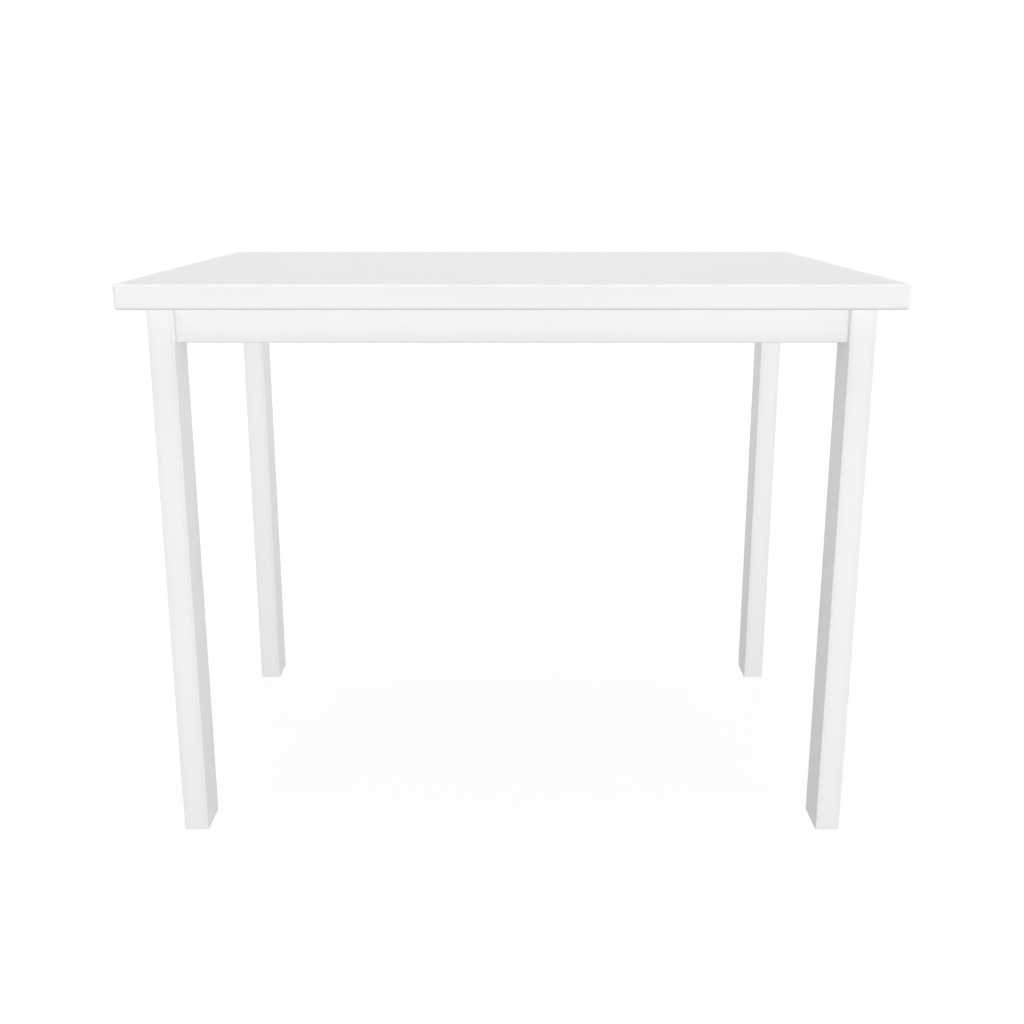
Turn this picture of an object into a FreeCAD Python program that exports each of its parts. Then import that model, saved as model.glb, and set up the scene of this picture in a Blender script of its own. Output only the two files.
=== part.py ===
import FreeCAD, Part
import math
import os
from FreeCAD import Placement, Rotation, Vector

# Small knock-down dining table. Millimetres. X runs along the table, Y across it with the front at -Y,
# and Z up from the floor. The origin is on the floor under the middle of the tabletop.
# The table is symmetric front to back and end to end, so one corner, one long apron and one end apron
# are built, at the front right, and the others are their mirror images.

# ---------------------------------------------------------------- driving dimensions

# Tabletop
TABLE_LENGTH = 958.0
TABLE_DEPTH = 691.0
TABLE_HEIGHT = 750.0
TOP_THICKNESS = 31.0
TOP_EDGE_ROUND = 4.0
OVERHANG_END = 26.0
OVERHANG_FRONT = 43.5

# Legs: straight rectangular posts with softened edges
LEG_WIDTH = 32.5
LEG_DEPTH = 59.0
LEG_EDGE_ROUND = 1.5

# Aprons: rails between the legs, set back from their outer faces
APRON_HEIGHT = 45.0
APRON_THICKNESS = 18.0
APRON_RECESS = 3.5
APRON_EDGE_ROUND = 2.0

# Bolt seat: the 45 degree flat on the inner corner of each leg
SEAT_LAND = 1.0
SEAT_LIP = 2.0

# Corner bracket: one strip of steel bent across the corner, its hooks slid up into kerfs of both aprons
PLATE_THICKNESS = 2.0
PLATE_BEND_RADIUS = 1.0
BRACKET_MARGIN = 4.0
WEB_STANDOFF = 20.0
WING_LENGTH = 16.0
HOOK_DEPTH = 7.0
KERF_CLEARANCE = 0.2
KERF_MOUTH_CHAMFER = 1.2
BEAD_WIDTH = 5.6
BEAD_RISE = 1.5
BEAD_SLOPE = 1.2
BEAD_GAP = 1.0
BEAD_END_MARGIN = 8.0

# Hanger bolt, washer and wing nut
BOLT_RADIUS = 3.8
BOLT_IN_LEG = 30.0
BOLT_TIP_LENGTH = 7.0
BOLT_PROUD_OF_NUT = 4.0
BOLT_HOLE_CLEARANCE = 0.2
BRACKET_HOLE_CLEARANCE = 0.6
WASHER_RADIUS = 8.0
WASHER_THICKNESS = 1.6
NUT_HUB_RADIUS = 6.5
NUT_HUB_HEIGHT = 9.0
NUT_WING_RADIUS = 18.5
NUT_WING_HEIGHT = 17.5
NUT_WING_THICKNESS = 2.6
NUT_WING_ROOT = 1.8
NUT_TIP_WIDTH = 6.5
NUT_TIP_ROUND = 2.6
NUT_TURN_DEGREES = 25.0

# Cheese-head screws through the top clips into the tabletop
SCREW_RADIUS = 2.0
SCREW_LENGTH = 15.0
SCREW_HEAD_RADIUS = 4.0
SCREW_HEAD_HEIGHT = 2.4
SCREW_HOLE_CLEARANCE = 0.2

# Top clips: Z-shaped strips, tongue in a slot of the apron, ear under the tabletop
CLIP_THICKNESS = 1.6
CLIP_WIDTH = 20.0
CLIP_BEND_RADIUS = 1.0
CLIP_TONGUE = 8.0
CLIP_DROP = 12.0
CLIP_EAR = 19.0
CLIP_HOLE_SETBACK = 9.0
CLIP_SLOT_PLAY = 1.4
CLIP_SLOT_END_PLAY = 2.0
CLIP_SPACING = 340.0

# Foot pads: thin nylon slides stuck under the feet, a little inside their edges
PAD_THICKNESS = 1.0
PAD_MARGIN = 4.0

# Room left past the end of anything that stands in a blind hole or slot
BLIND_GAP = 1.0

# A cutter overshoots the face it opens by this much
OVERCUT = 5.0

# ---------------------------------------------------------------- places worked out from them

# Front right leg, from its outer corner to its inner one
leg_top = TABLE_HEIGHT - TOP_THICKNESS
leg_outer_x = TABLE_LENGTH / 2 - OVERHANG_END
leg_outer_y = OVERHANG_FRONT - TABLE_DEPTH / 2
leg_inner_x = leg_outer_x - LEG_WIDTH
leg_inner_y = leg_outer_y + LEG_DEPTH

# Outer and inner faces of the front apron (in Y) and of the right apron (in X)
front_face = leg_outer_y + APRON_RECESS
front_inside = front_face + APRON_THICKNESS
end_face = leg_outer_x - APRON_RECESS
end_inside = end_face - APRON_THICKNESS
apron_bottom = leg_top - APRON_HEIGHT
apron_middle = leg_top - APRON_HEIGHT / 2

# Bolt axis, from the middle of the seat towards the middle of the table
seat_cut = end_inside - leg_inner_x - SEAT_LAND
seat_centre = Vector(leg_inner_x + seat_cut / 2, leg_inner_y - seat_cut / 2, apron_middle)
bolt_axis = Vector(-1, 1, 0).normalize()
web_run = Vector(1, 1, 0).normalize()
web_outer_face = seat_centre + bolt_axis * WEB_STANDOFF
web_inner_face = web_outer_face + bolt_axis * PLATE_THICKNESS
nut_seat = web_inner_face + bolt_axis * WASHER_THICKNESS

# Centre line of the bracket seen from above: hook, wing, web, wing, hook
web_middle = web_outer_face + bolt_axis * (PLATE_THICKNESS / 2)
front_wing_y = front_inside + PLATE_THICKNESS / 2
end_wing_x = end_inside - PLATE_THICKNESS / 2
front_bend = Vector(web_middle.x + front_wing_y - web_middle.y, front_wing_y, 0)
end_bend = Vector(end_wing_x, web_middle.y + end_wing_x - web_middle.x, 0)
front_hook_x = front_bend.x - WING_LENGTH
end_hook_y = end_bend.y + WING_LENGTH
bracket_height = APRON_HEIGHT - 2 * BRACKET_MARGIN

OUT_OF_FRONT_APRON = Vector(0, 1, 0)
OUT_OF_END_APRON = Vector(-1, 0, 0)
UP = Vector(0, 0, 1)

# Points nearer than this are one point, and directions that turn less than this are in line
SAME = 1e-6


# ---------------------------------------------------------------- shaping helpers

def block(low, high):
    """A box between two opposite corners."""
    size = high - low
    return Part.makeBox(size.x, size.y, size.z, low)


def rounded_face(points, radii):
    """A flat face through the points, with each corner rounded to its own radius."""
    corners = []
    for index, corner in enumerate(points):
        back = (points[index - 1] - corner).normalize()
        ahead = (points[(index + 1) % len(points)] - corner).normalize()
        radius = radii[index]
        if radius == 0:
            corners.append((corner, None, corner))
            continue
        half_angle = back.getAngle(ahead) / 2
        reach = radius / math.tan(half_angle)
        crown = radius / math.sin(half_angle) - radius
        middle = corner + (back + ahead).normalize() * crown
        corners.append((corner + back * reach, middle, corner + ahead * reach))
    edges = []
    for index, (start, middle, end) in enumerate(corners):
        if middle is not None:
            edges.append(Part.Arc(start, middle, end).toShape())
        following = corners[(index + 1) % len(corners)][0]
        if end.distanceToPoint(following) > SAME:
            edges.append(Part.LineSegment(end, following).toShape())
    return Part.Face(Part.Wire(edges))


def prism(points, bottom, top):
    """An upright prism over an outline of (x, y) points."""
    outline = [Vector(x, y, bottom) for x, y in points]
    return Part.Face(Part.makePolygon(outline + outline[:1])).extrude(Vector(0, 0, top - bottom))


def turned(profile, start, direction):
    """A turned piece. The profile gives (radius, distance) pairs along the direction from the start."""
    outline = [Vector(radius, 0, distance) for radius, distance in profile]
    piece = Part.Face(Part.makePolygon(outline + outline[:1])).revolve(Vector(0, 0, 0), UP, 360)
    if piece.Volume < 0:
        piece.reverse()
    piece.Placement = Placement(start, Rotation(UP, direction))
    return piece


def hole(radius, start, direction, depth):
    """A drilled hole that starts a little outside the face it opens."""
    drill = Vector(direction).normalize()
    return Part.makeCylinder(radius, depth + OVERCUT, start - drill * OVERCUT, drill)


def bent_strip(path, thickness, bend_radius, width):
    """Strip metal bent along a centre line in the XY plane, its width centred on that plane."""
    left, right = [], []
    left_radii, right_radii = [], []
    for index, point in enumerate(path):
        behind = point - path[index - 1] if index > 0 else path[1] - path[0]
        ahead = path[index + 1] - point if index < len(path) - 1 else behind
        behind = Vector(behind).normalize()
        ahead = Vector(ahead).normalize()
        sideways = UP.cross(behind) + UP.cross(ahead)
        offset = sideways * (thickness / 2 / (1 + behind.dot(ahead)))
        turn = behind.cross(ahead).z
        inside = bend_radius if abs(turn) > SAME else 0
        outside = bend_radius + thickness if abs(turn) > SAME else 0
        left.append(point + offset)
        right.append(point - offset)
        left_radii.append(inside if turn > 0 else outside)
        right_radii.append(outside if turn > 0 else inside)
    face = rounded_face(left + right[::-1], left_radii + right_radii[::-1])
    strip = face.extrude(UP * width)
    strip.translate(UP * (-width / 2))
    return strip


def raised_panel(length, width, slope, rise, place):
    """A flat panel with sloping sides, standing along the place's z axis from its origin."""
    outlines = []
    for inset, level in ((0, 0), (slope, rise)):
        x = length / 2 - inset
        y = width / 2 - inset
        corners = [Vector(-x, -y, level), Vector(x, -y, level), Vector(x, y, level), Vector(-x, y, level)]
        outlines.append(Part.makePolygon(corners + corners[:1]))
    panel = Part.makeLoft(outlines, True, True)
    panel.Placement = place
    return panel


def placed(shape, places):
    """One copy of a shape at each place."""
    copies = []
    for place in places:
        copy = shape.copy()
        copy.Placement = place
        copies.append(copy)
    return copies


def mirrored(shape, end_to_end, front_to_back):
    """A shape of the front right corner moved to another one."""
    if end_to_end:
        shape = shape.mirror(Vector(0, 0, 0), Vector(1, 0, 0))
    if front_to_back:
        shape = shape.mirror(Vector(0, 0, 0), Vector(0, 1, 0))
    return shape


def lifted(point, rise):
    """The same point, higher or lower."""
    return point + UP * rise


def eased(shape, radius, wanted):
    """The shape with the edges that are wanted rounded."""
    return shape.makeFillet(radius, [edge for edge in shape.Edges if wanted(edge)])


def is_upright(edge):
    """True for a vertical edge of a block."""
    return edge.BoundBox.ZLength > edge.Length / 2


def on_every_apron(front_solids, end_solids):
    """Solids that go with the front and right aprons, and their mirror images at the back and left."""
    back_solids = [mirrored(solid, False, True) for solid in front_solids]
    left_solids = [mirrored(solid, True, False) for solid in end_solids]
    return front_solids + back_solids + end_solids + left_solids


# ---------------------------------------------------------------- timber pieces

def tabletop():
    """One slab with every edge rounded over, drilled from below for the clip screws."""
    low = Vector(-TABLE_LENGTH / 2, -TABLE_DEPTH / 2, leg_top)
    high = Vector(TABLE_LENGTH / 2, TABLE_DEPTH / 2, TABLE_HEIGHT)
    slab = eased(block(low, high), TOP_EDGE_ROUND, lambda edge: True)
    front_pilots = [clip_pilot(seat) for seat in clip_screw_seats(front_clip_places())]
    end_pilots = [clip_pilot(seat) for seat in clip_screw_seats(end_clip_places())]
    return slab.cut(on_every_apron(front_pilots, end_pilots))


def clip_pilot(seat):
    """The hole in the tabletop for the screw of one top clip."""
    depth = SCREW_LENGTH - CLIP_THICKNESS + BLIND_GAP
    return hole(SCREW_RADIUS + SCREW_HOLE_CLEARANCE, lifted(seat, CLIP_THICKNESS), UP, depth)


def leg():
    """A straight post with a 45 degree bolt seat."""
    low = Vector(leg_inner_x, leg_outer_y, PAD_THICKNESS)
    high = Vector(leg_outer_x, leg_inner_y, leg_top)
    post = eased(block(low, high), LEG_EDGE_ROUND, is_upright)
    seat = [
        (leg_inner_x, leg_inner_y - seat_cut),
        (leg_inner_x + seat_cut, leg_inner_y),
        (leg_inner_x + seat_cut, leg_inner_y + OVERCUT),
        (leg_inner_x - OVERCUT, leg_inner_y + OVERCUT),
        (leg_inner_x - OVERCUT, leg_inner_y - seat_cut),
    ]
    seat_cutter = prism(seat, apron_bottom + SEAT_LIP, leg_top + OVERCUT)
    bolt_bore = hole(BOLT_RADIUS + BOLT_HOLE_CLEARANCE, seat_centre, -bolt_axis, BOLT_IN_LEG + BLIND_GAP)
    return post.cut([seat_cutter, bolt_bore])


def front_apron():
    """The long rail: a kerf near each end for the brackets, and slots for the top clips."""
    low = Vector(-leg_inner_x, front_face, apron_bottom)
    high = Vector(leg_inner_x, front_inside, leg_top)
    rail = eased(block(low, high), APRON_EDGE_ROUND, runs_along_bottom)
    saw_cut = kerf(front_hook_x, front_inside, False)
    slots = placed(clip_slot(), front_clip_places())
    return rail.cut([saw_cut, mirrored(saw_cut, True, False)] + slots)


def end_apron():
    """The short rail, made as the long one is."""
    low = Vector(end_inside, leg_inner_y, apron_bottom)
    high = Vector(end_face, -leg_inner_y, leg_top)
    rail = eased(block(low, high), APRON_EDGE_ROUND, runs_along_bottom)
    saw_cut = kerf(end_hook_y, end_inside, True)
    slots = placed(clip_slot(), end_clip_places())
    return rail.cut([saw_cut, mirrored(saw_cut, False, True)] + slots)


def runs_along_bottom(edge):
    """True for a long lower edge of an apron."""
    return edge.BoundBox.ZMax < apron_middle and edge.Length > 2 * APRON_THICKNESS


def kerf(place, face, across_end_apron):
    """The upright saw kerf that takes one hook of the bracket, with its mouth chamfered both sides."""
    half = PLATE_THICKNESS / 2 + KERF_CLEARANCE
    mouth = half + KERF_MOUTH_CHAMFER
    depth = HOOK_DEPTH + KERF_CLEARANCE
    outline = [
        (-mouth, OVERCUT), (-mouth, 0), (-half, -KERF_MOUTH_CHAMFER), (-half, -depth),
        (half, -depth), (half, -KERF_MOUTH_CHAMFER), (mouth, 0), (mouth, OVERCUT),
    ]
    if across_end_apron:
        outline = [(face - out, place + along) for along, out in outline]
    else:
        outline = [(place + along, face + out) for along, out in outline]
    return prism(outline, apron_bottom - OVERCUT, leg_top + OVERCUT)


# ---------------------------------------------------------------- corner bracket and its bolt

def corner_bracket():
    """Strip bent to hook, wing, web, wing and hook, with two beads pressed along the web."""
    path = [
        Vector(front_hook_x, front_inside - HOOK_DEPTH, 0),
        Vector(front_hook_x, front_wing_y, 0),
        front_bend,
        end_bend,
        Vector(end_wing_x, end_hook_y, 0),
        Vector(end_inside + HOOK_DEPTH, end_hook_y, 0),
    ]
    strip = bent_strip(path, PLATE_THICKNESS, PLATE_BEND_RADIUS, bracket_height)
    strip.translate(UP * apron_middle)

    level_middle = Vector(web_middle.x, web_middle.y, 0)
    long_reach = level_middle.distanceToPoint(front_bend) - BEAD_END_MARGIN
    short_reach = level_middle.distanceToPoint(end_bend) - BEAD_END_MARGIN
    bead_length = long_reach + short_reach
    bead_height = WASHER_RADIUS + BEAD_GAP + BEAD_WIDTH / 2
    hollow_width = BEAD_WIDTH - 2 * BEAD_SLOPE
    hollow_length = bead_length - 2 * BEAD_SLOPE
    turn = Rotation(web_run, -UP, bolt_axis, "ZXY")
    for height in (-bead_height, bead_height):
        along = web_run * ((short_reach - long_reach) / 2)
        ridge_place = Placement(lifted(web_inner_face + along, height), turn)
        hollow_place = Placement(lifted(web_outer_face + along, height), turn)
        ridge = raised_panel(bead_length, BEAD_WIDTH, BEAD_SLOPE, BEAD_RISE, ridge_place)
        hollow = raised_panel(hollow_length, hollow_width, BEAD_SLOPE / 2, BEAD_RISE, hollow_place)
        strip = strip.fuse(ridge).cut(hollow)

    bolt_opening = BOLT_RADIUS + BRACKET_HOLE_CLEARANCE
    opening = hole(bolt_opening, web_outer_face, bolt_axis, PLATE_THICKNESS + OVERCUT)
    return strip.cut(opening).removeSplitter()


def hanger_bolt():
    """Pointed wood end in the leg, plain end through bracket, washer and nut."""
    outer_end = WEB_STANDOFF + PLATE_THICKNESS + WASHER_THICKNESS + NUT_HUB_HEIGHT + BOLT_PROUD_OF_NUT
    profile = [
        (0, -BOLT_IN_LEG),
        (BOLT_RADIUS, BOLT_TIP_LENGTH - BOLT_IN_LEG),
        (BOLT_RADIUS, outer_end),
        (0, outer_end),
    ]
    return turned(profile, seat_centre, bolt_axis)


def washer():
    """A flat ring between the web and the nut."""
    bore = BOLT_RADIUS + BOLT_HOLE_CLEARANCE
    profile = [(bore, 0), (WASHER_RADIUS, 0), (WASHER_RADIUS, WASHER_THICKNESS), (bore, WASHER_THICKNESS)]
    return turned(profile, web_inner_face, bolt_axis)


def wing_nut():
    """A round hub with two upswept wings."""
    origin = Vector(0, 0, 0)
    hub = Part.makeCylinder(NUT_HUB_RADIUS, NUT_HUB_HEIGHT, origin, UP)
    shoulder = NUT_WING_RADIUS - NUT_TIP_WIDTH
    outline = [
        (0, NUT_WING_ROOT),
        (shoulder, NUT_WING_ROOT),
        (NUT_WING_RADIUS, NUT_HUB_HEIGHT),
        (NUT_WING_RADIUS, NUT_WING_HEIGHT),
        (shoulder, NUT_WING_HEIGHT),
        (NUT_HUB_RADIUS, NUT_HUB_HEIGHT - NUT_WING_ROOT / 2),
        (0, NUT_HUB_HEIGHT - NUT_WING_ROOT / 2),
    ]
    points = [Vector(x, -NUT_WING_THICKNESS / 2, z) for x, z in outline]
    face = rounded_face(points, [0, NUT_TIP_ROUND, 0, NUT_TIP_ROUND, NUT_TIP_ROUND, 0, 0])
    wing = face.extrude(Vector(0, NUT_WING_THICKNESS, 0))
    pair = [wing, wing.rotated(origin, UP, 180)]
    bore = hole(BOLT_RADIUS + BOLT_HOLE_CLEARANCE, origin, UP, NUT_WING_HEIGHT)
    nut = hub.fuse(pair).cut(bore).removeSplitter()
    across = Rotation(bolt_axis.cross(UP), UP, bolt_axis, "ZYX")
    nut.Placement = Placement(nut_seat, across.multiply(Rotation(UP, NUT_TURN_DEGREES)))
    return nut


def clip_screw(seat):
    """A cheese-head screw driven upwards, its head bearing on the clip at the seat."""
    profile = [
        (0, -SCREW_LENGTH),
        (SCREW_RADIUS, -SCREW_LENGTH),
        (SCREW_RADIUS, 0),
        (SCREW_HEAD_RADIUS, 0),
        (SCREW_HEAD_RADIUS, SCREW_HEAD_HEIGHT),
        (0, SCREW_HEAD_HEIGHT),
    ]
    return turned(profile, seat, -UP)


# ---------------------------------------------------------------- top clips

def front_clip_places():
    """Two clip frames on the front apron: x out of its inner face, y up, z along it."""
    turn = Rotation(OUT_OF_FRONT_APRON, UP, Vector(1, 0, 0), "ZYX")
    stations = (-CLIP_SPACING / 2, CLIP_SPACING / 2)
    return [Placement(Vector(along, front_inside, leg_top), turn) for along in stations]


def end_clip_places():
    """One clip frame, half way along the right apron, set out in the same way."""
    turn = Rotation(OUT_OF_END_APRON, UP, Vector(0, 1, 0), "ZYX")
    return [Placement(Vector(end_inside, 0, leg_top), turn)]


def top_clip():
    """A Z-shaped clip in its own frame, with the apron's upper inner edge at the origin."""
    riser = CLIP_BEND_RADIUS + CLIP_THICKNESS / 2
    ear_level = -CLIP_THICKNESS / 2
    tongue_level = ear_level - CLIP_DROP
    path = [
        Vector(-CLIP_TONGUE, tongue_level, 0),
        Vector(riser, tongue_level, 0),
        Vector(riser, ear_level, 0),
        Vector(riser + CLIP_EAR, ear_level, 0),
    ]
    strip = bent_strip(path, CLIP_THICKNESS, CLIP_BEND_RADIUS, CLIP_WIDTH)
    opening = Vector(riser + CLIP_EAR - CLIP_HOLE_SETBACK, -CLIP_THICKNESS, 0)
    through = CLIP_THICKNESS + OVERCUT
    return strip.cut(hole(SCREW_RADIUS + SCREW_HOLE_CLEARANCE, opening, Vector(0, 1, 0), through))


def clip_slot():
    """The slot that takes the tongue. Its upper wall is the face the tongue pulls against."""
    half_width = CLIP_WIDTH / 2 + CLIP_SLOT_END_PLAY
    return block(
        Vector(-CLIP_TONGUE - BLIND_GAP, -CLIP_DROP - CLIP_THICKNESS - CLIP_SLOT_PLAY, -half_width),
        Vector(OVERCUT, -CLIP_DROP, half_width),
    )


def clip_screw_seats(places):
    """Where the head of each clip's screw bears, on the underside of the ear."""
    reach = CLIP_BEND_RADIUS + CLIP_THICKNESS / 2 + CLIP_EAR - CLIP_HOLE_SETBACK
    return [place.multVec(Vector(reach, -CLIP_THICKNESS, 0)) for place in places]


# ---------------------------------------------------------------- feet

def foot_pad():
    """A thin slide under the foot, which the table stands on."""
    low = Vector(leg_inner_x + PAD_MARGIN, leg_outer_y + PAD_MARGIN, 0)
    high = Vector(leg_outer_x - PAD_MARGIN, leg_inner_y - PAD_MARGIN, PAD_THICKNESS)
    return block(low, high)


# ---------------------------------------------------------------- the whole table

# For each corner, whether it mirrors the front right one end to end and front to back
CORNERS = {
    "front_right": (False, False),
    "front_left": (True, False),
    "back_right": (False, True),
    "back_left": (True, True),
}


def export(node, solids):
    """Write one node, a single solid or a group of like ones."""
    shape = solids[0] if len(solids) == 1 else Part.Compound(solids)
    shape.exportStep("parts/" + node + ".step")


def build():
    """Make every node of the table."""
    os.makedirs("parts", exist_ok=True)
    export("tabletop", [tabletop()])
    for name, solid in (("leg", leg()), ("corner_bracket", corner_bracket()), ("foot_pad", foot_pad())):
        for corner, flips in CORNERS.items():
            export(name + "_" + corner, [mirrored(solid, *flips)])
    for name, solid in (("hanger_bolts", hanger_bolt()), ("washers", washer()), ("wing_nuts", wing_nut())):
        export(name, [mirrored(solid, *flips) for flips in CORNERS.values()])

    aprons = on_every_apron([front_apron()], [end_apron()])
    for side, solid in zip(("front", "back", "right", "left"), aprons):
        export("apron_" + side, [solid])
    front_clips = placed(top_clip(), front_clip_places())
    end_clips = placed(top_clip(), end_clip_places())
    export("top_clips", on_every_apron(front_clips, end_clips))
    front_screws = [clip_screw(seat) for seat in clip_screw_seats(front_clip_places())]
    end_screws = [clip_screw(seat) for seat in clip_screw_seats(end_clip_places())]
    export("clip_screws", on_every_apron(front_screws, end_screws))


build()
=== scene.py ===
import math

import bmesh
import bpy
from mathutils import Matrix, Vector


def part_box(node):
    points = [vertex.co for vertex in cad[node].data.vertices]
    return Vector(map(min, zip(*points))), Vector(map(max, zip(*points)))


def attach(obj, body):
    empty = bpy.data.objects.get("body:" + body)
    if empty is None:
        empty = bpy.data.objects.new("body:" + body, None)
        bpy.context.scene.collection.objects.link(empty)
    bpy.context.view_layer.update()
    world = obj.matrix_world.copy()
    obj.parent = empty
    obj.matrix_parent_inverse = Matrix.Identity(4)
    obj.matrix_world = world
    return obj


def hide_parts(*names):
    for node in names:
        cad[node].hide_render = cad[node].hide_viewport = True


# Small white dining table that comes apart for moving: a slab top, four straight legs, four slim aprons,
# and in each inner corner a steel bracket drawn up by a hanger bolt and a wing nut. Metres, +Z up,
# the front of the table at -Y. The sections follow the table as it is put together.

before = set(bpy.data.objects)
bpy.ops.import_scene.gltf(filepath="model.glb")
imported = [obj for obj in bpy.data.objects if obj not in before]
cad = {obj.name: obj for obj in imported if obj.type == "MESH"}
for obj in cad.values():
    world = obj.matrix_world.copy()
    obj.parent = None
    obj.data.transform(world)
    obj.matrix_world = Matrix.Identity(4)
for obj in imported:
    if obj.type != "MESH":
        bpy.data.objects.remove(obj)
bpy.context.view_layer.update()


# ---------------------------------------------------------------- camera
# It stands in front of the table, a little above the top, and looks down by 15 degrees at a point half way
# up, so that the tabletop shows as a shallow trapezium and the legs run together towards the floor.

CAMERA_PLACE = (0.0, -1.8439, 0.8694)
CAMERA_TILT = math.radians(75)
CAMERA_LENS = 43.456
CAMERA_SENSOR = 36.0

camera_data = bpy.data.cameras.new("camera")
camera_data.lens = CAMERA_LENS
camera_data.sensor_width = CAMERA_SENSOR
camera_data.sensor_fit = "HORIZONTAL"
camera = bpy.data.objects.new("camera", camera_data)
camera.location = CAMERA_PLACE
camera.rotation_euler = (CAMERA_TILT, 0, 0)
bpy.context.scene.collection.objects.link(camera)
bpy.context.scene.camera = camera


# ---------------------------------------------------------------- tabletop
# One slab of board with all its edges rounded over, primed, sanded and rolled with white satin paint. The
# roller leaves a fine stipple that only shows in the gloss. Towards the edges the colour is a trace darker,
# which is painted shade.

PAINT_WHITE = (0.86, 0.86, 0.86, 1)
PAINT_SPECULAR = 0.3
PAINT_ROUGHNESS = 0.6
PAINT_GLOSS_CHANGE = 0.05
PAINT_GLOSS_PATCHES_PER_METRE = 28
PAINT_CLOUD_SHADE = 0.988
PAINT_CLOUDS_PER_METRE = 7
STIPPLE_HEIGHT = 0.00002
TOP_STIPPLE_PER_METRE = 420
# Painted shade along the edges of each painted board: the colour there is this much darker.
EDGE_PAINTED_SHADE = 0.955
TOP_EDGE_REACH = 0.006
NOISE_LOW = 0.3
NOISE_HIGH = 0.7


def feed(tree, socket, value):
    """Give an input a plain value, or the output of another node."""
    if isinstance(value, bpy.types.NodeSocket):
        tree.links.new(value, socket)
    else:
        socket.default_value = value


def add_node(tree, kind, **values):
    """A shader node, with its properties and its inputs set by name."""
    node = tree.nodes.new("ShaderNode" + kind)
    for name, value in values.items():
        if hasattr(node, name):
            setattr(node, name, value)
        else:
            feed(tree, node.inputs[name.replace("_", " ")], value)
    return node


def combine(tree, kind, operation, *values, **properties):
    """The result of a Math or VectorMath node that works on these values, in their order."""
    node = add_node(tree, kind, operation=operation, **properties)
    for socket, value in zip(node.inputs, values):
        feed(tree, socket, value)
    return node.outputs[0]


def noise(tree, per_metre, detail, roughness):
    """A noise that stays with the piece."""
    place = add_node(tree, "TexCoord").outputs["Object"]
    texture = add_node(tree, "TexNoise", Vector=place, Scale=per_metre, Detail=detail, Roughness=roughness)
    return texture.outputs["Fac"]


def stretched(tree, value, low, high):
    """The usual range of a noise, stretched from low to high."""
    node = add_node(
        tree, "MapRange", Value=value, From_Min=NOISE_LOW, From_Max=NOISE_HIGH, To_Min=low, To_Max=high
    )
    return node.outputs["Result"]


def shaded(tree, colour, shade):
    """The colour times the shade."""
    return add_node(tree, "VectorMath", operation="SCALE", Vector=colour, Scale=shade).outputs["Vector"]


def new_finish(name, inputs):
    """A node group for a finish, which puts out its colour, its roughness and the height of its relief."""
    tree = bpy.data.node_groups.new(name, "ShaderNodeTree")
    for socket, kind in inputs.items():
        tree.interface.new_socket(socket, in_out="INPUT", socket_type="NodeSocket" + kind)
    for socket, kind in {"Colour": "Color", "Roughness": "Float", "Height": "Float"}.items():
        tree.interface.new_socket(socket, in_out="OUTPUT", socket_type="NodeSocket" + kind)
    given = tree.nodes.new("NodeGroupInput").outputs
    result = tree.nodes.new("NodeGroupOutput").inputs
    return tree, given, result


def painted_shade_at_edges(tree, middle, half_size, reach):
    """Painted shade on a board: its colour darkest along its edges, and full beyond their reach."""
    place = add_node(tree, "TexCoord").outputs["Object"]
    one_corner = combine(tree, "VectorMath", "ABSOLUTE", place)
    from_middle = combine(tree, "VectorMath", "SUBTRACT", one_corner, middle)
    outward = combine(tree, "VectorMath", "ABSOLUTE", from_middle)
    inward = combine(tree, "VectorMath", "SUBTRACT", half_size, outward)
    x, y, z = add_node(tree, "SeparateXYZ", Vector=inward).outputs
    lesser = combine(tree, "Math", "MINIMUM", x, y)
    greater = combine(tree, "Math", "MAXIMUM", x, y)
    second = combine(tree, "Math", "MINIMUM", greater, z)
    from_edge = combine(tree, "Math", "MAXIMUM", lesser, second)
    edge_shade = add_node(
        tree, "MapRange", interpolation_type="SMOOTHSTEP", Value=from_edge,
        From_Min=0.0, From_Max=reach, To_Min=EDGE_PAINTED_SHADE, To_Max=1.0,
    )
    return edge_shade.outputs["Result"]


def make_paint_film():
    """Rolled paint: stipple, slow changes of gloss and shade, and painted shade along a board's edges."""
    tree, given, result = new_finish("rolled_paint_film", {
        "Colour": "Color", "Stipple": "Float", "Roughness": "Float",
        "Board Middle": "Vector", "Board Half Size": "Vector", "Edge Reach": "Float",
    })
    clouds = noise(tree, PAINT_CLOUDS_PER_METRE, detail=4.0, roughness=0.55)
    # Painted shade: the colour darkens towards the board's edges.
    edge_shade = painted_shade_at_edges(tree, given["Board Middle"], given["Board Half Size"], given["Edge Reach"])
    shade = combine(tree, "Math", "MULTIPLY", stretched(tree, clouds, PAINT_CLOUD_SHADE, 1.0), edge_shade)
    patches = noise(tree, PAINT_GLOSS_PATCHES_PER_METRE, detail=3.0, roughness=0.5)
    change = stretched(tree, patches, -PAINT_GLOSS_CHANGE, PAINT_GLOSS_CHANGE)
    gloss = combine(tree, "Math", "ADD", given["Roughness"], change, use_clamp=True)
    feed(tree, result["Colour"], shaded(tree, given["Colour"], shade))
    feed(tree, result["Roughness"], gloss)
    feed(tree, result["Height"], noise(tree, given["Stipple"], detail=3.0, roughness=0.45))
    return tree


paint_film = make_paint_film()


def finished(name, finish, relief, values):
    """A material under a finish group: the values are the group's inputs, and the relief is in metres."""
    material = bpy.data.materials.new(name)
    material.use_nodes = True
    tree = material.node_tree
    group = tree.nodes.new("ShaderNodeGroup")
    group.node_tree = finish
    for socket, value in values.items():
        feed(tree, group.inputs[socket], value)
    bump = add_node(tree, "Bump", Strength=1.0, Distance=relief, Height=group.outputs["Height"])
    surface = tree.nodes["Principled BSDF"].inputs
    feed(tree, surface["Base Color"], group.outputs["Colour"])
    feed(tree, surface["Roughness"], group.outputs["Roughness"])
    feed(tree, surface["Normal"], bump.outputs["Normal"])
    return material, surface


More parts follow.
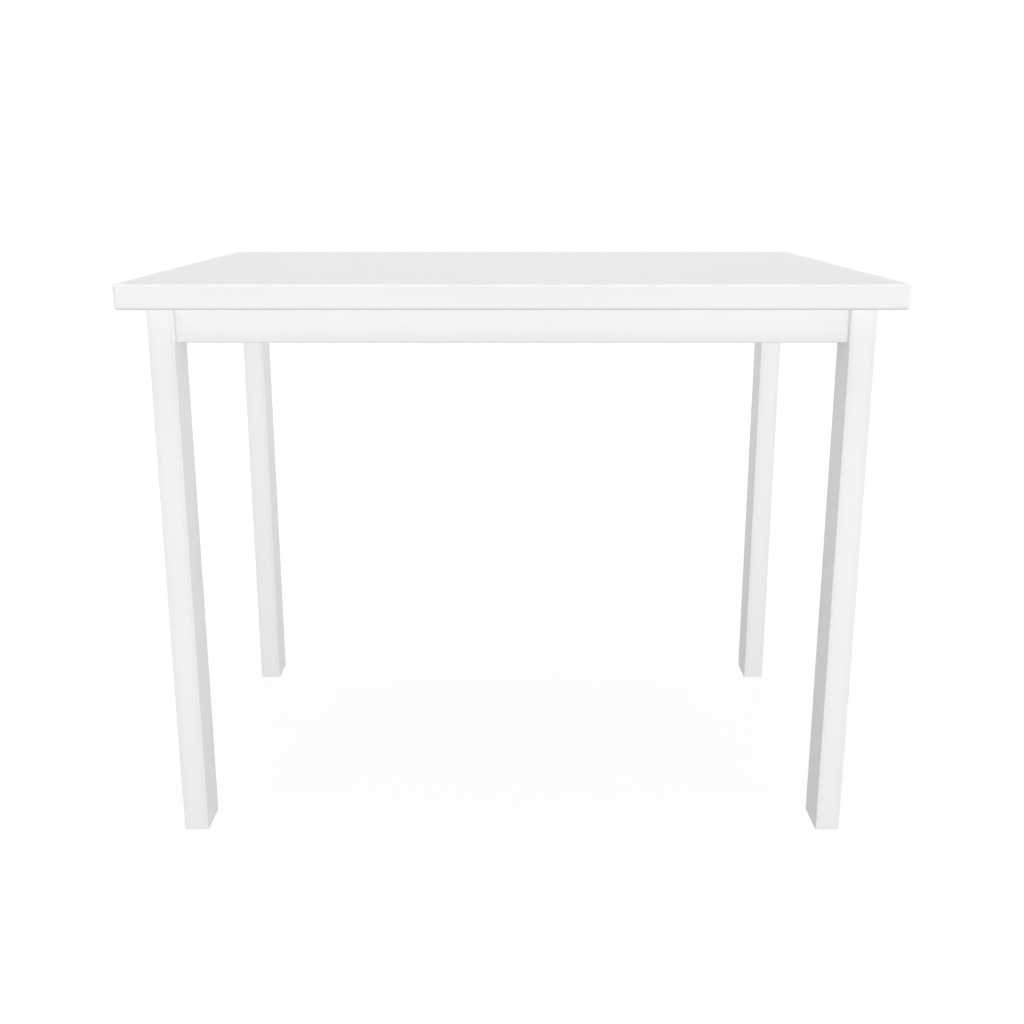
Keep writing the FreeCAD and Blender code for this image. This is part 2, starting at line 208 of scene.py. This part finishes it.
def satin_paint(name, board, white, stipple_per_metre, edge_reach):
    """White satin paint for one board and for those that mirror it across the table."""
    low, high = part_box(board)
    material, surface = finished(name, paint_film, STIPPLE_HEIGHT, {
        "Colour": white,
        "Stipple": stipple_per_metre,
        "Roughness": PAINT_ROUGHNESS,
        "Board Middle": [abs(value) for value in (low + high) / 2],
        "Board Half Size": (high - low) / 2,
        "Edge Reach": edge_reach,
    })
    surface["Specular IOR Level"].default_value = PAINT_SPECULAR
    return material


def dress(node, material):
    """Give a CAD node its finish."""
    cad[node].data.materials.clear()
    cad[node].data.materials.append(material)


top_paint = satin_paint("tabletop_paint", "tabletop", PAINT_WHITE, TOP_STIPPLE_PER_METRE, TOP_EDGE_REACH)
dress("tabletop", top_paint)


# ---------------------------------------------------------------- legs
# Four straight posts, deeper than they are wide, with their long edges just broken. They are painted apart
# from the top with a smaller roller and so a finer stipple. Their white is a trace lighter than the top's,
# which is painted light on the legs, and like the top they carry painted shade along their edges.

# Each corner of the table with its sides: -1 left or 1 right, and -1 front or 1 back.
CORNERS = {"front_left": (-1, -1), "front_right": (1, -1), "back_left": (-1, 1), "back_right": (1, 1)}
# Painted light: the legs' white is lighter than the top's so that they show brighter.
LEG_WHITE_PAINTED_LIGHTER = (0.88, 0.88, 0.88, 1)
LEG_STIPPLE_PER_METRE = 480
LEG_EDGE_REACH = 0.010

leg_paint = satin_paint("leg_paint", "leg_front_right", LEG_WHITE_PAINTED_LIGHTER, LEG_STIPPLE_PER_METRE, LEG_EDGE_REACH)
for corner in CORNERS:
    dress("leg_" + corner, leg_paint)


# ---------------------------------------------------------------- aprons
# Slim rails between the legs, a few millimetres behind their outer faces, rounded along their lower edges
# and slotted inside for the brackets and the top clips. Paint laid off along a rail keeps a slightly finer
# stipple than the legs have.

APRON_STIPPLE_PER_METRE = 500
# The painted shade reaches further on the aprons and darkens their lower part and their ends by the legs.
APRON_EDGE_REACH = 0.016

for boards in (("apron_front", "apron_back"), ("apron_right", "apron_left")):
    paint_name = boards[0] + "_paint"
    apron_paint = satin_paint(paint_name, boards[0], PAINT_WHITE, APRON_STIPPLE_PER_METRE, APRON_EDGE_REACH)
    for board in boards:
        dress(board, apron_paint)


# ---------------------------------------------------------------- corner brackets
# Strips of sheet steel, bent across the corners and hooked into saw kerfs of both aprons, with two beads
# pressed into the web. The shears leave their edges slightly rounded, and they are zinc plated after
# bending.

ZINC_BRIGHT = (0.66, 0.67, 0.69, 1)
ZINC_DARK_SHADE = 0.96
ZINC_LIGHT_SHADE = 1.02
ZINC_ROUGHER = 0.05
ZINC_SMOOTHER = -0.04
ZINC_GRAINS_PER_METRE = 2600
SHEET_CLOUDS_PER_METRE = 70
SHEET_ROUGHNESS = 0.3
SHEET_GRAIN_HEIGHT = 0.000002
SHEET_SMOOTH_ANGLE = math.radians(40)
SHARP_ANGLE = math.radians(50)
BRACKET_EDGE_ROUND = 0.0003
SAME_POINT = 0.000002
SAME_PLANE = math.radians(1)


def make_zinc_plating():
    """Zinc: cloudy patches, darker and duller or lighter and glossier, over the fine grain of the metal."""
    inputs = {"Colour": "Color", "Patches": "Float", "Roughness": "Float"}
    tree, given, result = new_finish("zinc_plating", inputs)
    clouds = noise(tree, given["Patches"], detail=2.0, roughness=0.45)
    shade = stretched(tree, clouds, ZINC_DARK_SHADE, ZINC_LIGHT_SHADE)
    change = stretched(tree, clouds, ZINC_ROUGHER, ZINC_SMOOTHER)
    gloss = combine(tree, "Math", "ADD", given["Roughness"], change, use_clamp=True)
    feed(tree, result["Colour"], shaded(tree, given["Colour"], shade))
    feed(tree, result["Roughness"], gloss)
    feed(tree, result["Height"], noise(tree, ZINC_GRAINS_PER_METRE, detail=2.0, roughness=0.5))
    return tree


zinc_plating = make_zinc_plating()


def bright_zinc(name, clouds_per_metre, roughness, grain_height):
    """Bright zinc for one kind of metal surface."""
    values = {"Colour": ZINC_BRIGHT, "Patches": clouds_per_metre, "Roughness": roughness}
    material, surface = finished(name, zinc_plating, grain_height, values)
    surface["Metallic"].default_value = 1.0
    return material


def take(obj):
    """Make this the one selected and active object."""
    bpy.ops.object.select_all(action="DESELECT")
    obj.select_set(True)
    bpy.context.view_layer.objects.active = obj


def finish_piece(obj, name, nodes, material):
    """Name a finished piece, give it its material and let it stand for its CAD nodes."""
    obj.name = name
    obj.data.name = name
    obj.data.materials.clear()
    obj.data.materials.append(material)
    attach(obj, "root")
    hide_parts(*nodes)


def round_edges(obj, width):
    """Round over the sharp edges of a piece of sheet metal, and smooth it."""
    edges = obj.modifiers.new("rounded_edges", "BEVEL")
    edges.width = width
    edges.segments = 2
    edges.limit_method = "ANGLE"
    edges.angle_limit = SHARP_ANGLE
    take(obj)
    bpy.ops.object.modifier_apply(modifier=edges.name)
    bpy.ops.object.shade_smooth_by_angle(angle=SHEET_SMOOTH_ANGLE)


def with_rounded_edges(node, width):
    """A copy of a sheet metal node, its sheared edges rounded over."""
    obj = bpy.data.objects.new(node + "_sheet", cad[node].data.copy())
    bpy.context.scene.collection.objects.link(obj)
    take(obj)
    bpy.ops.mesh.customdata_custom_splitnormals_clear()
    bpy.ops.object.mode_set(mode="EDIT")
    bpy.ops.mesh.select_all(action="SELECT")
    bpy.ops.mesh.remove_doubles(threshold=SAME_POINT)
    bpy.ops.mesh.dissolve_limited(angle_limit=SAME_PLANE)
    bpy.ops.object.mode_set(mode="OBJECT")
    round_edges(obj, width)
    return obj


sheet_zinc = bright_zinc("sheet_zinc", SHEET_CLOUDS_PER_METRE, SHEET_ROUGHNESS, SHEET_GRAIN_HEIGHT)
for corner in CORNERS:
    node = "corner_bracket_" + corner
    bracket = with_rounded_edges(node, BRACKET_EDGE_ROUND)
    finish_piece(bracket, "pressed_bracket_" + corner, [node], sheet_zinc)


# ---------------------------------------------------------------- hanger bolts
# M8 hanger bolts at 45 degrees, screwed into the inner corner of each leg. The wood thread and point are
# inside the leg; a plain neck and a rolled machine thread run out through bracket, washer and nut.

BOLT_SEAT_DEPTH = 0.005
BOLT_RADIUS = 0.0038
BOLT_CORE = 0.0032
BOLT_IN_LEG = 0.030
BOLT_OUT = 0.0366
BOLT_NECK = 0.005
BOLT_END_BEVEL = 0.0005
BOLT_CORE_SIDES = 24
BOLT_NECK_SIDES = 32
BOLT_TAPER = 0.007
BOLT_TAPER_REACH = 0.95 * BOLT_TAPER
BOLT_TAPER_END_SHARE = 0.15
THREAD_PITCH = 0.00125
THREAD_ROOT = 0.95 * BOLT_CORE
THREAD_BASE = 0.84 * THREAD_PITCH
THREAD_CREST_SHARE = 0.15
THREAD_STEPS = 20
END_NORMAL_Z = 0.9
TURNED_CLOUDS_PER_METRE = 160
TURNED_ROUGHNESS = 0.26
TURNED_GRAIN_HEIGHT = 0.000001
TURNED_SMOOTH_ANGLE = math.radians(35)


def bolt_seats():
    """For each corner, where the bolt leaves the flat on its leg, and its way in under the table."""
    leg_low, leg_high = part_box("leg_front_right")
    apron_low, apron_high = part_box("apron_front")
    x = leg_low.x + BOLT_SEAT_DEPTH
    y = BOLT_SEAT_DEPTH - leg_high.y
    z = (apron_low.z + apron_high.z) / 2
    seats = {}
    for corner, (right, back) in CORNERS.items():
        seats[corner] = (Vector((right * x, back * y, z)), Vector((-right, -back, 0)).normalized())
    return seats


def faces_up(face):
    """Whether a face is the upper end of an upright piece."""
    return face.normal.z > END_NORMAL_Z


def faces_down(face):
    """Whether a face is the lower end of an upright piece."""
    return face.normal.z < -END_NORMAL_Z


def pick_faces(obj, wanted):
    """In edit mode, select only the faces that pass the test."""
    bpy.ops.mesh.select_mode(type="FACE")
    bpy.ops.mesh.select_all(action="DESELECT")
    mesh = bmesh.from_edit_mesh(obj.data)
    for face in mesh.faces:
        face.select_set(wanted(face))
    bmesh.update_edit_mesh(obj.data)


def bevel_upper_rim(obj, width, segments):
    """In edit mode, bevel the rim of the upper end."""
    pick_faces(obj, faces_up)
    bpy.ops.mesh.bevel(offset=width, segments=segments, affect="EDGES")


def turn_outwards():
    """In edit mode, turn all faces outwards."""
    bpy.ops.mesh.select_all(action="SELECT")
    bpy.ops.mesh.normals_make_consistent(inside=False)


def rod(radius, low, high, sides):
    """An upright cylinder from one height to another, left in edit mode."""
    bpy.ops.object.select_all(action="DESELECT")
    bpy.ops.mesh.primitive_cylinder_add(
        vertices=sides, radius=radius, depth=high - low, location=(0, 0, (low + high) / 2)
    )
    bpy.ops.object.transform_apply(location=True)
    bpy.ops.object.mode_set(mode="EDIT")
    return bpy.context.object


def joined(pieces):
    """Join pieces into the first of them."""
    bpy.ops.object.select_all(action="DESELECT")
    for piece in pieces:
        piece.select_set(True)
    bpy.context.view_layer.objects.active = pieces[0]
    bpy.ops.object.join()
    return pieces[0]


def stood_at(pattern, places):
    """Copies of an upright pattern as one piece, each stood on a place along an axis and turned."""
    copies = []
    for place, axis, turn in places:
        copy = pattern.copy()
        copy.data = pattern.data.copy()
        bpy.context.scene.collection.objects.link(copy)
        stand = axis.to_track_quat("Z", "Y").to_matrix().to_4x4()
        copy.matrix_world = Matrix.Translation(place) @ stand @ Matrix.Rotation(turn, 4, "Z")
        take(copy)
        bpy.ops.object.transform_apply(location=True, rotation=True, scale=True)
        copies.append(copy)
    bpy.data.objects.remove(pattern)
    return joined(copies)


def bolt_core():
    """The rod that the machine thread is rolled on."""
    core = rod(BOLT_CORE, -BOLT_IN_LEG, BOLT_OUT, BOLT_CORE_SIDES)
    bevel_upper_rim(core, BOLT_END_BEVEL, segments=2)
    bpy.ops.object.mode_set(mode="OBJECT")
    return core


def bolt_neck():
    """The plain neck, with what is inside the leg. It tapers towards its end."""
    neck = rod(BOLT_RADIUS, BOLT_TAPER - BOLT_IN_LEG, BOLT_NECK, BOLT_NECK_SIDES)
    bevel_upper_rim(neck, BOLT_END_BEVEL, segments=2)
    pick_faces(neck, faces_down)
    bpy.ops.mesh.extrude_region_move(TRANSFORM_OT_translate={"value": (0, 0, -BOLT_TAPER_REACH)})
    bpy.ops.transform.resize(value=(BOLT_TAPER_END_SHARE, BOLT_TAPER_END_SHARE, 1))
    bpy.ops.object.mode_set(mode="OBJECT")
    return neck


def machine_thread():
    """A ridge wound round the core, wide at its root and narrow at its crest."""
    half_way = (BOLT_RADIUS + THREAD_ROOT) / 2
    bpy.ops.object.select_all(action="DESELECT")
    bpy.ops.mesh.primitive_plane_add(size=1, rotation=(math.pi / 2, 0, 0))
    thread = bpy.context.object
    thread.scale = (BOLT_RADIUS - THREAD_ROOT, THREAD_BASE, 1)
    thread.location = (half_way, 0, BOLT_NECK)
    bpy.ops.object.transform_apply(location=True, rotation=True, scale=True)
    bpy.ops.object.mode_set(mode="EDIT")
    bpy.ops.mesh.select_mode(type="VERT")
    bpy.ops.mesh.select_all(action="DESELECT")
    outline = bmesh.from_edit_mesh(thread.data)
    for point in outline.verts:
        point.select_set(point.co.x > half_way)
    bmesh.update_edit_mesh(thread.data)
    bpy.ops.transform.resize(value=(1, 1, THREAD_CREST_SHARE))
    bpy.ops.mesh.select_all(action="SELECT")
    bpy.ops.mesh.delete(type="ONLY_FACE")
    bpy.ops.object.mode_set(mode="OBJECT")
    winding = thread.modifiers.new("winding", "SCREW")
    winding.axis = "Z"
    winding.angle = math.tau
    winding.screw_offset = THREAD_PITCH
    winding.iterations = int((BOLT_OUT - BOLT_NECK - BOLT_END_BEVEL) / THREAD_PITCH)
    winding.steps = THREAD_STEPS
    winding.render_steps = THREAD_STEPS
    bpy.ops.object.modifier_apply(modifier=winding.name)
    bpy.ops.object.mode_set(mode="EDIT")
    bpy.ops.mesh.select_all(action="SELECT")
    bpy.ops.mesh.fill_holes(sides=0)
    turn_outwards()
    bpy.ops.object.mode_set(mode="OBJECT")
    return thread


seats = bolt_seats()
bolt = joined([bolt_core(), bolt_neck(), machine_thread()])
bpy.ops.object.shade_smooth_by_angle(angle=TURNED_SMOOTH_ANGLE)
bolts = stood_at(bolt, [(place, axis, 0.0) for place, axis in seats.values()])
turned_zinc = bright_zinc("turned_zinc", TURNED_CLOUDS_PER_METRE, TURNED_ROUGHNESS, TURNED_GRAIN_HEIGHT)
finish_piece(bolts, "threaded_bolts", ["hanger_bolts"], turned_zinc)


# ---------------------------------------------------------------- washers
# Plain washers between bracket and nut, one on each bolt. They are punched from sheet steel, so their edges
# are slightly rounded.

WASHER_RADIUS = 0.008
WASHER_BORE = 0.004
WASHER_THICKNESS = 0.0016
WASHER_EDGE_ROUND = 0.00025
WASHER_SEAT = 0.022
WASHER_SIDES = 48

washer = rod(WASHER_RADIUS, 0, WASHER_THICKNESS, WASHER_SIDES)
pick_faces(washer, lambda face: faces_up(face) or faces_down(face))
bpy.ops.mesh.inset(thickness=WASHER_RADIUS - WASHER_BORE)
bpy.ops.mesh.bridge_edge_loops()
turn_outwards()
bpy.ops.object.mode_set(mode="OBJECT")
round_edges(washer, WASHER_EDGE_ROUND)
washers = stood_at(washer, [(place + axis * WASHER_SEAT, axis, 0.0) for place, axis in seats.values()])
finish_piece(washers, "punched_washers", ["washers"], turned_zinc)


# ---------------------------------------------------------------- wing nuts
# Wing nuts cast in zinc: a tapered hub that flows into two upswept wings with round tips. They stand as the
# hand left them, two of them turned one way and two the other.

NUT_SEAT = WASHER_SEAT + WASHER_THICKNESS
NUT_TURN = math.radians(25)
NUT_HUB_RADIUS = 0.0065
NUT_HUB_HEIGHT = 0.009
NUT_HUB_TOP_SHARE = 0.9
NUT_HUB_SIDES = 48
NUT_WING_START = 0.003
NUT_WING_REACH = 0.0185
NUT_WING_LOW = 0.0018
NUT_WING_HIGH = 0.0175
NUT_WING_ROOT = NUT_HUB_HEIGHT - 0.0009
NUT_WING_THICKNESS = 0.0026
NUT_TIP_WIDTH = 0.0065
NUT_TIP_ROUND = 0.0026
NUT_SOFTENING = 0.5
NUT_SOFTENING_ROUNDS = 5
CAST_DETAIL = 0.0004
CAST_CLOUDS_PER_METRE = 120
CAST_ROUGHNESS = 0.38
CAST_GRAIN_HEIGHT = 0.000006
ON_THE_CUT = 0.000001
IN_LINE = 0.00001


def nut_hub():
    """The hub, a little narrower at its top."""
    hub = rod(NUT_HUB_RADIUS, 0, NUT_HUB_HEIGHT, NUT_HUB_SIDES)
    pick_faces(hub, faces_up)
    bpy.ops.transform.resize(value=(NUT_HUB_TOP_SHARE, NUT_HUB_TOP_SHARE, 1))
    bpy.ops.object.mode_set(mode="OBJECT")
    return hub


def block(size, middle):
    """A box of this size round its middle."""
    bpy.ops.object.select_all(action="DESELECT")
    bpy.ops.mesh.primitive_cube_add(size=1)
    obj = bpy.context.object
    obj.scale = size
    obj.location = middle
    bpy.ops.object.transform_apply(location=True, rotation=True, scale=True)
    return obj


def cut_off(place, outwards):
    """In edit mode, cut off what is beyond a plane and close the cut."""
    bpy.ops.mesh.select_all(action="SELECT")
    bpy.ops.mesh.bisect(
        plane_co=place, plane_no=outwards, use_fill=True, clear_outer=True, threshold=ON_THE_CUT
    )


def nut_wing():
    """One wing along +X: a plate, cut to a slope on both sides of its root, with a rounded tip."""
    shoulder = NUT_WING_REACH - NUT_TIP_WIDTH
    size = (NUT_WING_REACH - NUT_WING_START, NUT_WING_THICKNESS, NUT_WING_HIGH - NUT_WING_LOW)
    middle = ((NUT_WING_REACH + NUT_WING_START) / 2, 0, (NUT_WING_HIGH + NUT_WING_LOW) / 2)
    wing = block(size, middle)
    bpy.ops.object.mode_set(mode="EDIT")
    inner_side = Vector((NUT_WING_ROOT - NUT_WING_HIGH, 0, shoulder - NUT_HUB_RADIUS)).normalized()
    outer_side = Vector((NUT_HUB_HEIGHT - NUT_WING_LOW, 0, shoulder - NUT_WING_REACH)).normalized()
    cut_off((shoulder, 0, NUT_WING_HIGH), inner_side)
    cut_off((shoulder, 0, NUT_WING_LOW), outer_side)
    bpy.ops.mesh.select_mode(type="EDGE")
    bpy.ops.mesh.select_all(action="DESELECT")
    outline = bmesh.from_edit_mesh(wing.data)
    for edge in outline.edges:
        first, second = [point.co for point in edge.verts]
        across = abs(first.x - second.x) < IN_LINE and abs(first.z - second.z) < IN_LINE
        at_tip = first.x > shoulder - IN_LINE and first.z > NUT_WING_LOW + IN_LINE
        edge.select_set(across and at_tip)
    bmesh.update_edit_mesh(wing.data)
    bpy.ops.mesh.bevel(offset=NUT_TIP_ROUND, segments=6, affect="EDGES")
    bpy.ops.object.mode_set(mode="OBJECT")
    return wing


def cast_in_one(nut):
    """Flow the hub and the wings together, as cast metal does, and soften the corners between them."""
    casting = nut.modifiers.new("casting", "REMESH")
    casting.mode = "VOXEL"
    casting.voxel_size = CAST_DETAIL
    bpy.ops.object.modifier_apply(modifier=casting.name)
    softening = nut.modifiers.new("softening", "SMOOTH")
    softening.factor = NUT_SOFTENING
    softening.iterations = NUT_SOFTENING_ROUNDS
    bpy.ops.object.modifier_apply(modifier=softening.name)
    bpy.ops.object.shade_smooth()


hub = nut_hub()
right_wing = nut_wing()
left_wing = nut_wing()
left_wing.rotation_euler = (0, 0, math.pi)
bpy.ops.object.transform_apply(location=True, rotation=True, scale=True)
nut = joined([hub, right_wing, left_wing])
cast_in_one(nut)

nut_places = []
for corner, (right, back) in CORNERS.items():
    place, axis = seats[corner]
    nut_places.append((place + axis * NUT_SEAT, axis, -right * back * NUT_TURN))
nuts = stood_at(nut, nut_places)
cast_zinc = bright_zinc("cast_zinc", CAST_CLOUDS_PER_METRE, CAST_ROUGHNESS, CAST_GRAIN_HEIGHT)
finish_piece(nuts, "cast_wing_nuts", ["wing_nuts"], cast_zinc)


# ---------------------------------------------------------------- top clips and their screws
# Z-shaped clips of sheet steel, hooked into slots of the aprons, and a screw with a cross recess through
# each, up into the tabletop. The slots leave the wide top room to move with the seasons.

CLIP_EDGE_ROUND = 0.0002
CLIP_THICKNESS = 0.0016
CLIP_HALF_SPACING = 0.17
SCREW_FROM_APRON = 0.0118
SCREW_TURN_DEGREES = 20
SCREW_TURN_STEP_DEGREES = 37
SCREW_RADIUS = 0.002
SCREW_LENGTH = 0.015
SCREW_SIDES = 16
SCREW_HEAD_RADIUS = 0.004
SCREW_HEAD_HEIGHT = 0.0024
SCREW_HEAD_ROUND = 0.0007
SCREW_HEAD_SIDES = 40
SHANK_IN_HEAD = SCREW_HEAD_HEIGHT / 4
RECESS_LENGTH = 0.0044
RECESS_WIDTH = 0.0011
RECESS_DEPTH = 0.0014
HEAD_DOWN = Vector((0, 0, -1))

clips = with_rounded_edges("top_clips", CLIP_EDGE_ROUND)
finish_piece(clips, "pressed_clips", ["top_clips"], sheet_zinc)


def screw_seats():
    """Where the heads press on their clips: two along each long apron and one along each end apron."""
    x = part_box("apron_right")[0].x - SCREW_FROM_APRON
    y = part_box("apron_back")[0].y - SCREW_FROM_APRON
    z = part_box("tabletop")[0].z - CLIP_THICKNESS
    long_side = [(along, side) for side in (-y, y) for along in (-CLIP_HALF_SPACING, CLIP_HALF_SPACING)]
    return [Vector((*place, z)) for place in long_side + [(-x, 0), (x, 0)]]


head = rod(SCREW_HEAD_RADIUS, 0, SCREW_HEAD_HEIGHT, SCREW_HEAD_SIDES)
bevel_upper_rim(head, SCREW_HEAD_ROUND, segments=4)
bpy.ops.object.mode_set(mode="OBJECT")
for quarter_turn in (0, math.pi / 2):
    cutter = block((RECESS_LENGTH, RECESS_WIDTH, 2 * RECESS_DEPTH), (0, 0, SCREW_HEAD_HEIGHT))
    cutter.rotation_euler = (0, 0, quarter_turn)
    recess = head.modifiers.new("recess", "BOOLEAN")
    recess.operation = "DIFFERENCE"
    recess.object = cutter
    take(head)
    bpy.ops.object.modifier_apply(modifier=recess.name)
    bpy.data.objects.remove(cutter)
shank = rod(SCREW_RADIUS, -SCREW_LENGTH, SHANK_IN_HEAD, SCREW_SIDES)
bpy.ops.object.mode_set(mode="OBJECT")
screw = joined([head, shank])
bpy.ops.object.shade_smooth_by_angle(angle=TURNED_SMOOTH_ANGLE)

screw_places = []
for number, seat in enumerate(screw_seats()):
    turn = math.radians(SCREW_TURN_DEGREES + SCREW_TURN_STEP_DEGREES * number)
    screw_places.append((seat, HEAD_DOWN, turn))
screws = stood_at(screw, screw_places)
finish_piece(screws, "cross_head_screws", ["clip_screws"], turned_zinc)


# ---------------------------------------------------------------- foot pads
# Thin slides cut from natural nylon sheet, stuck under the feet. The table stands on them, and sliding has
# left fine scuffs in them.

NYLON = (0.78, 0.77, 0.74)
NYLON_SMOOTH = 0.45
NYLON_ROUGH = 0.6
SCUFFS_PER_METRE = 900
SCUFF_SHADE = 0.94
SCUFF_DEPTH = 0.00001

nylon = bpy.data.materials.new("nylon_sheet")
nylon.use_nodes = True
tree = nylon.node_tree
scuffs = noise(tree, SCUFFS_PER_METRE, detail=5.0, roughness=0.6)
relief = add_node(tree, "Bump", Strength=1.0, Distance=SCUFF_DEPTH, Height=scuffs)
surface = tree.nodes["Principled BSDF"].inputs
feed(tree, surface["Base Color"], shaded(tree, NYLON, stretched(tree, scuffs, SCUFF_SHADE, 1.0)))
feed(tree, surface["Roughness"], stretched(tree, scuffs, NYLON_SMOOTH, NYLON_ROUGH))
feed(tree, surface["Normal"], relief.outputs["Normal"])
for corner in CORNERS:
    dress("foot_pad_" + corner, nylon)


# ---------------------------------------------------------------- floor and light
# A white paper floor that lights the table like a grey one and keeps only a faint shadow under it. Wide
# soft boxes stand far off: the low ones light the sides evenly, three with a grid in front add to their
# upper parts, and the high ones light the top.

FLOOR_HALF = 8.0
FLOOR_COLOUR = (0.38, 0.38, 0.38, 1)
SHADOW_PAPER = (0.9, 0.9, 0.9, 1)
SHADOW_SHARE = 0.12
SHADOW_NEAR = 0.8
SHADOW_FAR = 1.9
PAPER_GLOW = 1.05
WORLD_LEVEL = 0.2
WHITE = (1, 1, 1, 1)
TABLE_AIM = (0, 0, 0.6)
OVER_TOP_AIM = (0, 0, 1.1)
OPEN_SPREAD = math.radians(180)
GRID_SPREAD = math.radians(25)

bpy.ops.object.select_all(action="DESELECT")
bpy.ops.mesh.primitive_plane_add(size=2 * FLOOR_HALF, location=(0, 0, 0))
floor = bpy.context.object
floor.name = "floor"


def seen_directly(tree):
    """1 for the rays that show the background itself: straight, mirrored or through glass."""
    rays = add_node(tree, "LightPath").outputs
    shown = combine(tree, "Math", "MAXIMUM", rays["Is Camera Ray"], rays["Is Glossy Ray"])
    return combine(tree, "Math", "MAXIMUM", shown, rays["Is Transmission Ray"])


def mixed(tree, share, first, second):
    """Two shaders mixed, with this share of the second."""
    node = add_node(tree, "MixShader", Fac=share)
    feed(tree, node.inputs[1], first)
    feed(tree, node.inputs[2], second)
    return node.outputs["Shader"]


paper = bpy.data.materials.new("paper_floor")
paper.use_nodes = True
tree = paper.node_tree
tree.nodes.clear()
matt = add_node(tree, "BsdfDiffuse", Color=FLOOR_COLOUR).outputs["BSDF"]
shadow_paper = add_node(tree, "BsdfDiffuse", Color=SHADOW_PAPER).outputs["BSDF"]
glow = add_node(tree, "Emission", Color=WHITE, Strength=PAPER_GLOW).outputs["Emission"]
place = add_node(tree, "TexCoord").outputs["Object"]
distance = add_node(tree, "VectorMath", operation="LENGTH", Vector=place).outputs["Value"]
share = add_node(
    tree, "MapRange", interpolation_type="SMOOTHSTEP", Value=distance,
    From_Min=SHADOW_NEAR, From_Max=SHADOW_FAR, To_Min=SHADOW_SHARE, To_Max=0.0,
).outputs["Result"]
shown = mixed(tree, share, glow, shadow_paper)
add_node(tree, "OutputMaterial", Surface=mixed(tree, seen_directly(tree), matt, shown))
floor.data.materials.append(paper)

world = bpy.data.worlds.new("studio")
bpy.context.scene.world = world
world.use_nodes = True
tree = world.node_tree
tree.nodes.clear()
around = add_node(tree, "Background", Color=WHITE, Strength=WORLD_LEVEL).outputs["Background"]
behind = add_node(tree, "Background", Color=WHITE, Strength=1.0).outputs["Background"]
add_node(tree, "OutputWorld", Surface=mixed(tree, seen_directly(tree), around, behind))


def softbox(name, place, aim, size, watts, spread=OPEN_SPREAD, mirrored=True):
    """A rectangular lamp turned to a point. A grid narrows its spread. Unmirrored, it shows in no gloss."""
    lamp_data = bpy.data.lights.new(name, "AREA")
    lamp_data.shape = "RECTANGLE"
    lamp_data.size, lamp_data.size_y = size
    lamp_data.energy = watts
    lamp_data.spread = spread
    lamp = bpy.data.objects.new(name, lamp_data)
    lamp.location = place
    lamp.rotation_euler = (Vector(aim) - Vector(place)).to_track_quat("-Z", "Y").to_euler()
    lamp.visible_camera = False
    lamp.visible_glossy = mirrored
    bpy.context.scene.collection.objects.link(lamp)


softbox("front_lamp", (0, -14, 0.4), TABLE_AIM, size=(7, 1), watts=118)
softbox("right_front_lamp", (9, -9, 0.8), TABLE_AIM, size=(4, 1), watts=795)
softbox("left_front_lamp", (-9, -9, 0.8), TABLE_AIM, size=(4, 1), watts=480)
softbox("left_grid_lamp", (-6.4, -6.4, 0.8), OVER_TOP_AIM, size=(3, 1), watts=3.2, spread=GRID_SPREAD)
softbox("right_side_lamp", (9, -1.2, 0.8), OVER_TOP_AIM, size=(3, 1), watts=5.4, spread=GRID_SPREAD)
softbox("left_side_lamp", (-9, -1.2, 0.8), OVER_TOP_AIM, size=(3, 1), watts=2.8, spread=GRID_SPREAD)
softbox("high_lamp", (0, -0.3, 4.5), TABLE_AIM, size=(3, 3), watts=88)
softbox("high_back_lamp", (0, 6, 7.2), TABLE_AIM, size=(6, 4), watts=157, mirrored=False)
softbox("back_lamp", (0, 6, 1.2), TABLE_AIM, size=(4, 1), watts=105, mirrored=False)

bpy.context.scene.view_settings.view_transform = "Standard"
